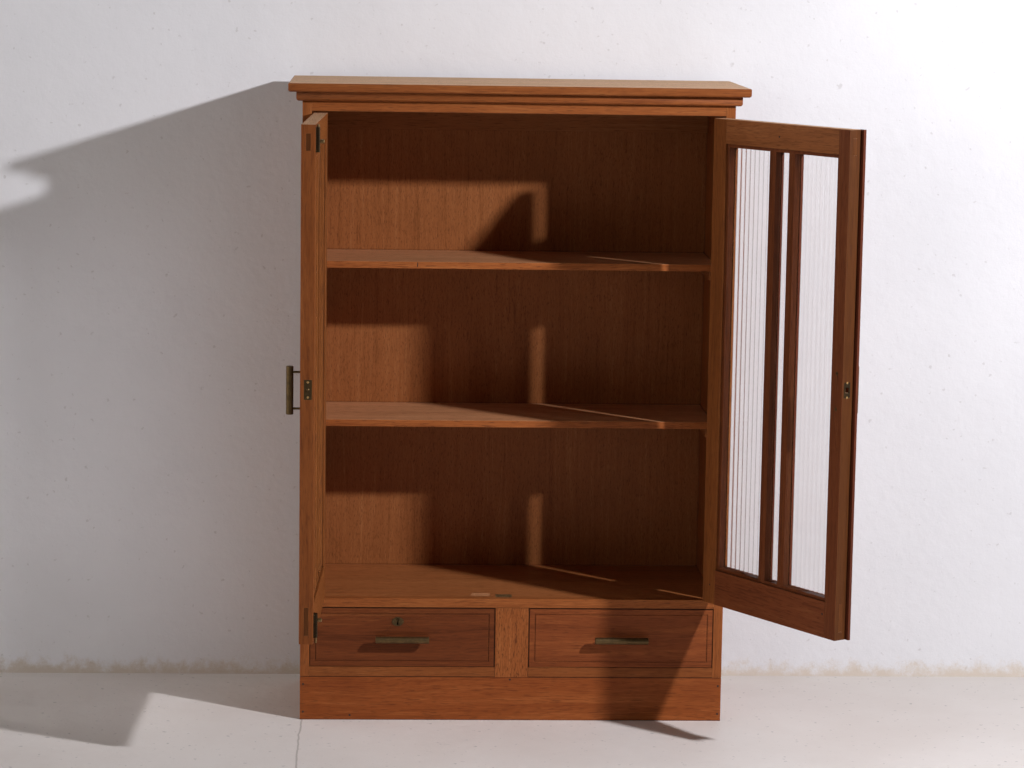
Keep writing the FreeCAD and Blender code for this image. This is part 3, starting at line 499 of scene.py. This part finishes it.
def dress_nodes():
    """Gives every CAD node its material, and all but the glass small rounded arrises."""
    panes = {"left_glass_panes": glass("left_reeded_glass", left_door_run, mirrored(hinge_axis)),
             "right_glass_panes": glass("right_reeded_glass", right_door_run, hinge_axis)}
    metal = brass("aged_brass", 0.52)
    dull = brass("dull_brass", 0.22, 0.8)
    worn = brass("worn_brass", 0.75, 0.4)
    others = {
        "left_bolt_cases": dull, "right_catch_plate": dull,
        "left_top_bolt": worn, "left_bottom_bolt": worn,
        "drawer_escutcheon": brass("plate_brass", 0.42, 0.6),
        "strike_plates": brass("dusty_brass", 0.7, 0.6, 0.4),
        "left_catch_case": brass("edge_brass", 0.33, 0.55),
    }
    for seed, (name, piece) in enumerate(sorted(nodes.items()), 1):
        if name in BOARDS:
            tone, grain, gain = BOARDS[name]
            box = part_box(name)
            joints = [((X, Y, Z)[axis], box[end][axis]) for axis, end in JOINT_SHADE_AND_DIRT.get(name, ())]
            traits = TRAITS.get(name, {})
            material = wood("wood_" + name, tone, grain, seed, gain, joints=joints, **traits)
            soften(piece, wood_bevel)
        elif name in panes:
            material = panes[name]
        else:
            material = others.get(name, metal)
            soften(piece, brass_bevel)
        piece.data.materials.clear()
        piece.data.materials.append(material)
    for seed, (name, way, tone, grain, gain) in enumerate(FACES, first_face_seed):
        piece = nodes[name]
        gloss = dull_gloss if tone in DULL_TONES else oiled_gloss
        piece.data.materials.append(wood(f"wood_{name}_{seed}", tone, grain, seed, gain, gloss=gloss))
        for face in piece.data.polygons:
            if face.normal.dot(way) > facing_limit:
                face.material_index = len(piece.data.materials) - 1


def new_piece(name, bm, body, material):
    mesh = bpy.data.meshes.new(name)
    bmesh.ops.recalc_face_normals(bm, faces=bm.faces)
    bm.to_mesh(mesh)
    bm.free()
    piece = bpy.data.objects.new(name, mesh)
    scene.collection.objects.link(piece)
    mesh.materials.append(material)
    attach(piece, body)


def circle(count):
    """Count angles, evenly round a circle."""
    return [2 * math.pi * i / count for i in range(count)]


def facing(centre, normal, first=Z):
    """The frame at centre whose third axis is normal and whose first axis is as near first as can be."""
    w = normal.normalized()
    u = (first - w * first.dot(w)).normalized()
    return Matrix.Translation(centre) @ Matrix((u, w.cross(u), w)).transposed().to_4x4()


def add_prism(bm, outline, low, high, place):
    """A prism over outline, points (u, v), between two heights, in the frame of place."""
    rings = [[bm.verts.new(place @ Vector((u, v, w))) for u, v in outline] for w in (low, high)]
    bm.faces.new(rings[0][::-1])
    bm.faces.new(rings[1])
    for i in range(len(outline)):
        j = (i + 1) % len(outline)
        bm.faces.new((rings[0][i], rings[0][j], rings[1][j], rings[1][i]))


# A slotted screw head, in shares of its radius and of its rise
screw_segments = 20
half_slot = 0.16
rim_radius, crown_radius = 0.985, 0.86
disc_top, rim_foot, rim_top = 0.12, 0.1, 0.75


def add_screw(bm, centre, normal, slot, radius, rise):
    """A slotted head: a low disc and the two halves of the head on it."""
    place = facing(centre, normal, slot)
    disc = [(radius * math.cos(a), radius * math.sin(a)) for a in circle(screw_segments)]
    add_prism(bm, disc, -rise, disc_top * rise, place)
    side_of_slot = half_slot * radius
    start = math.asin(half_slot)
    steps = screw_segments // 2
    for sign in (1, -1):
        arc = [start + (math.pi - 2 * start) * i / steps for i in range(steps + 1)]
        half = [(radius * math.cos(a), sign * radius * math.sin(a)) for a in arc]
        rim = [(rim_radius * u, rim_radius * v) for u, v in half]
        crown = [(crown_radius * u, sign * (side_of_slot + crown_radius * (abs(v) - side_of_slot)))
                 for u, v in half]
        add_prism(bm, rim, rim_foot * rise, rim_top * rise, place)
        add_prism(bm, crown, rim_top * rise, rise, place)


dome_rings = 4
dome_segments = 14


def add_dome(bm, centre, normal, radius, rise):
    """A low round head."""
    place = facing(centre, normal, X if abs(normal.z) > 0.5 else Z)
    tip = bm.verts.new(place @ Vector((0, 0, rise)))
    last = None
    for k in range(1, dome_rings + 1):
        bend = math.pi / 2 * k / dome_rings
        reach, height = radius * math.sin(bend), rise * math.cos(bend)
        ring = [bm.verts.new(place @ Vector((reach * math.cos(a), reach * math.sin(a), height)))
                for a in circle(dome_segments)]
        for i in range(dome_segments):
            j = (i + 1) % dome_segments
            if last is None:
                bm.faces.new((tip, ring[i], ring[j]))
            else:
                bm.faces.new((last[i], ring[i], ring[j], last[j]))
        last = ring
    bm.faces.new(last[::-1])


# Screws of the pulls
pull_height = 857 * mm
pull_reach = 40 * mm
pull_distance = 20 * mm
post_radius = 2.5 * mm
pull_screw_radius, pull_screw_rise = 4.2 * mm, 0.5 * mm

# Screws of the hinges: three in each leaf, the outer two further in than the middle one
hinge_heights = (447 * mm, 1284 * mm)
hinge_screw_reach = 29 * mm
hinge_leaf_middle = 12 * mm
hinge_screw_stagger = 2 * mm
hinge_screw_radius = 3.2 * mm
side_inner_x = 478 * mm
frame_slot_tilt = 0.6
flush_rise = 0.35 * mm

# Pins of the left door's bolts
bolt_line = 457 * mm
bolt_plates = ((309 * mm, 363 * mm), (1374 * mm, 1428 * mm))
bolt_plate_thickness = 1.5 * mm
bolt_pin_inset = 4 * mm
bolt_pin_reach = 7.2 * mm
pin_radius = 1.3 * mm
bolt_pin_rise, escutcheon_pin_rise = 0.5 * mm, 0.6 * mm
escutcheon_pin_x = 11 * mm

# Screws of the catch and of the strike plates
catch_height = 861 * mm
catch_screw_reach = 16.5 * mm
catch_inset = 17 * mm
catch_screw_radius = 2.6 * mm
catch_slot_tilt, strike_slot_tilt = 0.4, 0.4
floor_top = 294 * mm
frieze_bottom = 1437 * mm
strike_screw_x = 14 * mm
strike_screw_y = 11 * mm
strike_screw_radius, strike_screw_rise = 2.2 * mm, 0.3 * mm


def hinge_screws():
    """Each hinge screw's step from the middle one, its place t across the leaf, and its height."""
    for middle in hinge_heights:
        for step in (-1, 0, 1):
            t = hinge_leaf_middle + hinge_screw_stagger * abs(step)
            yield step, t, middle + step * hinge_screw_reach


def add_bolt_pins(bm, side, inward):
    for low, high in bolt_plates:
        for z in (low + bolt_pin_inset, high - bolt_pin_inset):
            for reach in (-bolt_pin_reach, bolt_pin_reach):
                place = on_door(side, bolt_line + reach, door_thickness + bolt_plate_thickness, z)
                add_dome(bm, place, inward, pin_radius, bolt_pin_rise)


def make_door_screws(side, hand, metal, bright):
    inward, edgeward = door_turn(side) @ Y, door_turn(side) @ (-side * X)
    bm = bmesh.new()
    for z in (pull_height - pull_reach, pull_height + pull_reach):
        place = on_door(side, door_width - pull_distance, door_thickness, z)
        add_screw(bm, place, inward, X + Z, pull_screw_radius, pull_screw_rise)
    for step, t, z in hinge_screws():
        place = on_door(side, 0, t, z)
        add_screw(bm, place, -edgeward, Z + step * inward, hinge_screw_radius, flush_rise)
    if hand == "left":
        add_bolt_pins(bm, side, inward)
    new_piece(f"{hand}_door_screws", bm, f"{hand}_door", metal)

    bm = bmesh.new()
    for z in (catch_height - catch_screw_reach, catch_height + catch_screw_reach):
        place = on_door(side, door_width, catch_inset, z)
        slot = Z + side * catch_slot_tilt * inward
        add_screw(bm, place, edgeward, slot, catch_screw_radius, flush_rise)
    new_piece(f"{hand}_catch_screws", bm, f"{hand}_door", bright)


def make_carcass_screws(metal):
    bm = bmesh.new()
    for side in (-1, 1):
        for step, t, z in hinge_screws():
            place = Vector((side * side_inner_x, front_y + t, z))
            slot = Z + frame_slot_tilt * step * Y
            add_screw(bm, place, -side * X, slot, hinge_screw_radius, flush_rise)
    low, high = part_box("strike_plates")
    middle = (low + high) / 2
    for normal, z in ((Z, floor_top), (-Z, frieze_bottom)):
        for dx in (-strike_screw_x, strike_screw_x):
            for dy in (-strike_screw_y, strike_screw_y):
                place = Vector((middle.x + dx, middle.y + dy, z))
                slot = X + strike_slot_tilt * Y
                add_screw(bm, place, normal, slot, strike_screw_radius, strike_screw_rise)
    new_piece("carcass_screws", bm, "carcass", metal)


def make_drawer_screws(hand, metal):
    """The pins of the left drawer's escutcheon, and the screws of the pull inside the front."""
    bm = bmesh.new()
    if hand == "left":
        low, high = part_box("drawer_escutcheon")
        middle = (low + high) / 2
        for dx in (-escutcheon_pin_x, escutcheon_pin_x):
            add_dome(bm, Vector((middle.x + dx, low.y, middle.z)), -Y, pin_radius, escutcheon_pin_rise)
    low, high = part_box(f"{hand}_drawer_posts")
    for x in (low.x + post_radius, high.x - post_radius):
        place = Vector((x, high.y, (low.z + high.z) / 2))
        add_screw(bm, place, Y, X, pull_screw_radius, pull_screw_rise)
    new_piece(f"{hand}_drawer_screws", bm, f"{hand}_drawer", metal)


def make_screws():
    metal, bright = brass("screw_brass", 0.5, 0.7), brass("bright_brass", 2.0, 0.1)
    make_door_screws(-1, "left", metal, bright)
    make_door_screws(1, "right", metal, bright)
    make_carcass_screws(metal)
    make_drawer_screws("left", metal)
    make_drawer_screws("right", metal)


# Nail heads: on the plinth, as x and z in mm, and on the back in two columns and two rows
PLINTH_NAILS = ((-492.5, 19), (-492.5, 86), (492.5, 17), (492.5, 85), (-382, 11), (-3, 99))
plinth_nail_radius = 2.6 * mm
back_column_x = (-483.5 * mm, 483.5 * mm)
back_column_start, back_column_pitch, back_column_count = 118 * mm, 122.8 * mm, 12
back_row_z = (112 * mm, 1475 * mm)
back_row_start, back_row_pitch, back_row_count = -440 * mm, 110 * mm, 9
back_nail_radius = 1.6 * mm
nail_rise = 0.3 * mm
floor_nail_x, floor_nail_y = -93 * mm, 29 * mm
floor_nail_radius, floor_nail_rise = 2.4 * mm, 0.2 * mm

# A crack in the upper shelf's front edge, across and up in mm from its middle
SHELF_CRACK = ((-1.3, -5.5), (1.4, -4), (1.1, 5), (-0.6, 6))
crack_x, crack_below_top = -230.6 * mm, 7 * mm
crack_foot, crack_rise = -0.5 * mm, 0.05 * mm

# Dark marks on the right door's inner face: s, z and radius in mm
DOOR_MARKS = ((235.3, 1404.8, 2.3), (430.8, 350.3, 2.8), (25.7, 341.7, 2.2))
mark_rise = 0.15 * mm


def make_nails():
    dark = iron("old_iron")
    bm = bmesh.new()
    for x, z in PLINTH_NAILS:
        add_dome(bm, Vector((x * mm, front_y, z * mm)), -Y, plinth_nail_radius, nail_rise)
    back_y = cad_bounds[1].y
    for k in range(back_column_count):
        for x in back_column_x:
            place = Vector((x, back_y, back_column_start + k * back_column_pitch))
            add_dome(bm, place, Y, back_nail_radius, nail_rise)
    for k in range(back_row_count):
        for z in back_row_z:
            place = Vector((back_row_start + k * back_row_pitch, back_y, z))
            add_dome(bm, place, Y, back_nail_radius, nail_rise)
    add_dome(bm, Vector((floor_nail_x, floor_nail_y, floor_top)), Z, floor_nail_radius, floor_nail_rise)
    shelf_front, shelf_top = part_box("shelves")[0].y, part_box("shelves")[1].z
    place = facing(Vector((crack_x, shelf_front, shelf_top - crack_below_top)), -Y, X)
    add_prism(bm, [(u * mm, v * mm) for u, v in SHELF_CRACK], crack_foot, crack_rise, place)
    new_piece("carcass_nails", bm, "carcass", dark)

    bm = bmesh.new()
    for s, z, radius in DOOR_MARKS:
        place = on_door(1, s * mm, door_thickness, z * mm)
        add_dome(bm, place, door_turn(1) @ Y, radius * mm, mark_rise)
    new_piece("right_door_marks", bm, "right_door", dark)


# Outline of the let-in repair, x and y in mm
PATCH = ((-98, 22), (-54, 22), (-51, 50), (-60, 54), (-93, 54))
patch_depth, patch_rise = 1 * mm, 0.15 * mm
patch_seed = 70


def make_patch():
    """A let-in repair of newer wood in the cabinet floor, by the strike plate."""
    bm = bmesh.new()
    corners = [(x * mm, y * mm) for x, y in PATCH]
    add_prism(bm, corners, floor_top - patch_depth, floor_top + patch_rise, Matrix.Identity(4))
    material = wood("wood_patch", "shelf", X, patch_seed, 0.95, gloss=dull_gloss)
    new_piece("floor_patch", bm, "carcass", material)


floor_half, wall_height = 9.0, 7.0
wall_y = 0.433


def make_sheet(name, corners, material):
    """A flat stage piece with four corners."""
    mesh = bpy.data.meshes.new(name)
    mesh.from_pydata(corners, [], [(0, 1, 2, 3)])
    piece = bpy.data.objects.new(name, mesh)
    scene.collection.objects.link(piece)
    mesh.materials.append(material)


def make_stage():
    """A pale floor and a pale wall behind, which shows from the front only."""
    low, high = -floor_half, floor_half
    make_sheet("floor", ((low, low, 0), (high, low, 0), (high, high, 0), (low, high, 0)),
               floor_paint("floor"))
    make_sheet("wall", ((low, wall_y, 0), (high, wall_y, 0), (high, wall_y, wall_height),
                        (low, wall_y, wall_height)), wall_paint("wall"))


# Paint of the wall and the floor: clean, stained, what lies in and on it, and its roughness
wall_clean, wall_stained = (0.80, 0.79, 0.80), (0.75, 0.74, 0.75)
floor_clean, floor_stained = (0.86, 0.795, 0.75), (0.80, 0.725, 0.675)
pit_colour = (0.45, 0.42, 0.40)
foot_colour = (0.62, 0.52, 0.41)
crack_colour = (0.35, 0.31, 0.28)
stain_cells, lump_cells, paint_fine_cells, pit_cells = (1.7,) * 3, (7,) * 3, (26,) * 3, (60,) * 3
paint_stain_span, pit_span = (0.35, 0.7), (0.66, 0.74)
wall_pits, floor_pits = 0.35, 0.6
# Painted light: the wall is lighter at the left and darker at the right, as the lamp's light falls off
wall_fade_from, wall_fade_to = -1.3, 1.3
wall_left_gain, wall_right_gain = 1.1, 0.93
foot_height, foot_ragged, foot_strength = 45 * mm, 0.12, 0.8
crack_cells, floor_crack_x, floor_crack_wander = (4,) * 3, -497 * mm, 30 * mm
floor_crack_reach, floor_crack_core, floor_crack_dark = 3 * mm, 1 * mm, 0.55
wall_roughness, floor_roughness, paint_specular = 0.7, 0.5, 0.25
lump_height, paint_bump, paint_bump_depth = 2.0, 0.5, 3 * mm


def paint_base(g, place, clean, stained, pit_strength):
    """The paint's colour with faint stains and pits, and its fine roughness."""
    stain = g.noise(place, stain_cells, 5, 0.6)
    fine = g.noise(place, paint_fine_cells, 5, 0.75)
    colour = g.mix(g.ramp(stain, *paint_stain_span), rgba(clean), rgba(stained))
    pits = g.ramp(g.noise(place, pit_cells, 2), *pit_span, 0.0, pit_strength)
    return g.mix(pits, colour, rgba(pit_colour)), fine


def paint_surface(g, place, colour, fine, roughness):
    height = g.plus(g.times(g.noise(place, lump_cells, 3, 0.6), lump_height), fine)
    bump = g.bump(height, paint_bump, paint_bump_depth)
    return g.surface(colour, roughness, bump, {"Specular IOR Level": paint_specular})


def wall_paint(name):
    """Darker to the right, a painted falloff of the lamp's light, and dirty at its foot. It is seen from
    the front, and light passes through.
    """
    material, g = new_material(name)
    place = g.add("TexCoord").outputs["Object"]
    colour, fine = paint_base(g, place, wall_clean, wall_stained, wall_pits)
    x, _, z = g.add("SeparateXYZ", {0: place}).outputs
    painted_falloff = g.ramp(x, wall_fade_from, wall_fade_to, wall_left_gain, wall_right_gain)
    colour = g.mix(1.0, colour, painted_falloff, "MULTIPLY")
    ragged = g.plus(z, g.swing(fine, foot_ragged))
    colour = g.mix(g.ramp(ragged, foot_height, 0.0, 0.0, foot_strength), colour, rgba(foot_colour))
    paint = paint_surface(g, place, colour, fine, wall_roughness)
    path = g.add("LightPath").outputs
    seen = g.most(path["Is Camera Ray"], g.most(path["Is Glossy Ray"], path["Is Transmission Ray"]))
    front = g.minus(1.0, g.add("NewGeometry").outputs["Backfacing"])
    clear = g.add("BsdfTransparent").outputs[0]
    g.output(g.add("MixShader", {0: g.times(seen, front), 1: clear, 2: paint}).outputs[0])
    return material


def floor_paint(name):
    """Smoother than the wall, with one wandering crack."""
    material, g = new_material(name)
    place = g.add("TexCoord").outputs["Object"]
    colour, fine = paint_base(g, place, floor_clean, floor_stained, floor_pits)
    x = g.add("SeparateXYZ", {0: place}).outputs[0]
    wander = g.swing(g.noise(place, crack_cells, 4, 0.6), floor_crack_wander)
    off = g.absolute(g.plus(g.minus(x, floor_crack_x), wander))
    crack = g.ramp(off, floor_crack_reach, floor_crack_core, 0.0, floor_crack_dark)
    g.output(paint_surface(g, place, g.mix(crack, colour, rgba(crack_colour)), fine, floor_roughness))
    return material


# Lights: a small key lamp on the right, a pale world that lights from the left, a weak lamp behind
key_place = Vector((2.828, -2.314, 2.578))
key_target = Vector((0, 0.1, 0.8))
key_power = 173.0
key_size = 0.15
key_colour = (0.93, 0.94, 1.0)
rear_place = Vector((0.8, 3.2, 2.4))
rear_target = Vector((0, 0.4, 0.8))
rear_power = 14.0
rear_size = 2.6
rear_colour = (1, 1, 1)
fill_colour = (1.0, 0.96, 0.92)
fill_strength, fill_overhead = 1.65, 0.1
fill_from, fill_full = -0.25, -0.85
fade_from, fade_full = 0.2, 0.9
mirror_from, mirror_full = -0.2, 0.3
background = (0.80, 0.79, 0.80)


def area_light(name, place, target, size, power, colour):
    light = bpy.data.lights.new(name, "AREA")
    light.shape, light.size, light.energy, light.color = "DISK", size, power, colour
    lamp = bpy.data.objects.new(name, light)
    turn = (target - place).to_track_quat("-Z", "Y").to_matrix().to_4x4()
    lamp.matrix_world = Matrix.Translation(place) @ turn
    scene.collection.objects.link(lamp)
    return lamp


def make_world():
    """Soft light from the left, fading overhead. To the camera and in glass and metal it is pale."""
    world = bpy.data.worlds.new("studio")
    scene.world = world
    g = Graph(world)
    path = g.add("LightPath").outputs
    x, y, z = g.add("SeparateXYZ", {0: g.add("TexCoord").outputs["Generated"]}).outputs
    mirrored_back = g.times(path["Is Glossy Ray"], g.ramp(y, mirror_from, mirror_full))
    seen = g.most(g.most(path["Is Camera Ray"], path["Is Transmission Ray"]), mirrored_back)
    direct = g.math("LESS_THAN", path["Diffuse Depth"], 0.5)
    strength = g.times(g.ramp(x, fill_from, fill_full, 0.0, fill_strength),
                       g.ramp(z, fade_from, fade_full, 1.0, fill_overhead))
    soft = g.add("Background", {0: rgba(fill_colour), 1: strength}).outputs[0]
    pale = g.add("Background", {0: rgba(background), 1: 1.0}).outputs[0]
    mixed = g.add("MixShader", {0: g.times(seen, direct), 1: soft, 2: pale}).outputs[0]
    g.add("OutputWorld", {0: mixed})


def make_lights():
    area_light("key", key_place, key_target, key_size, key_power, key_colour)
    rear = area_light("rear", rear_place, rear_target, rear_size, rear_power, rear_colour)
    rear.visible_camera = rear.visible_glossy = False
    make_world()


make_camera()
dress_nodes()
make_screws()
make_nails()
make_patch()
make_stage()
make_lights()
scene.view_settings.view_transform = "Standard"
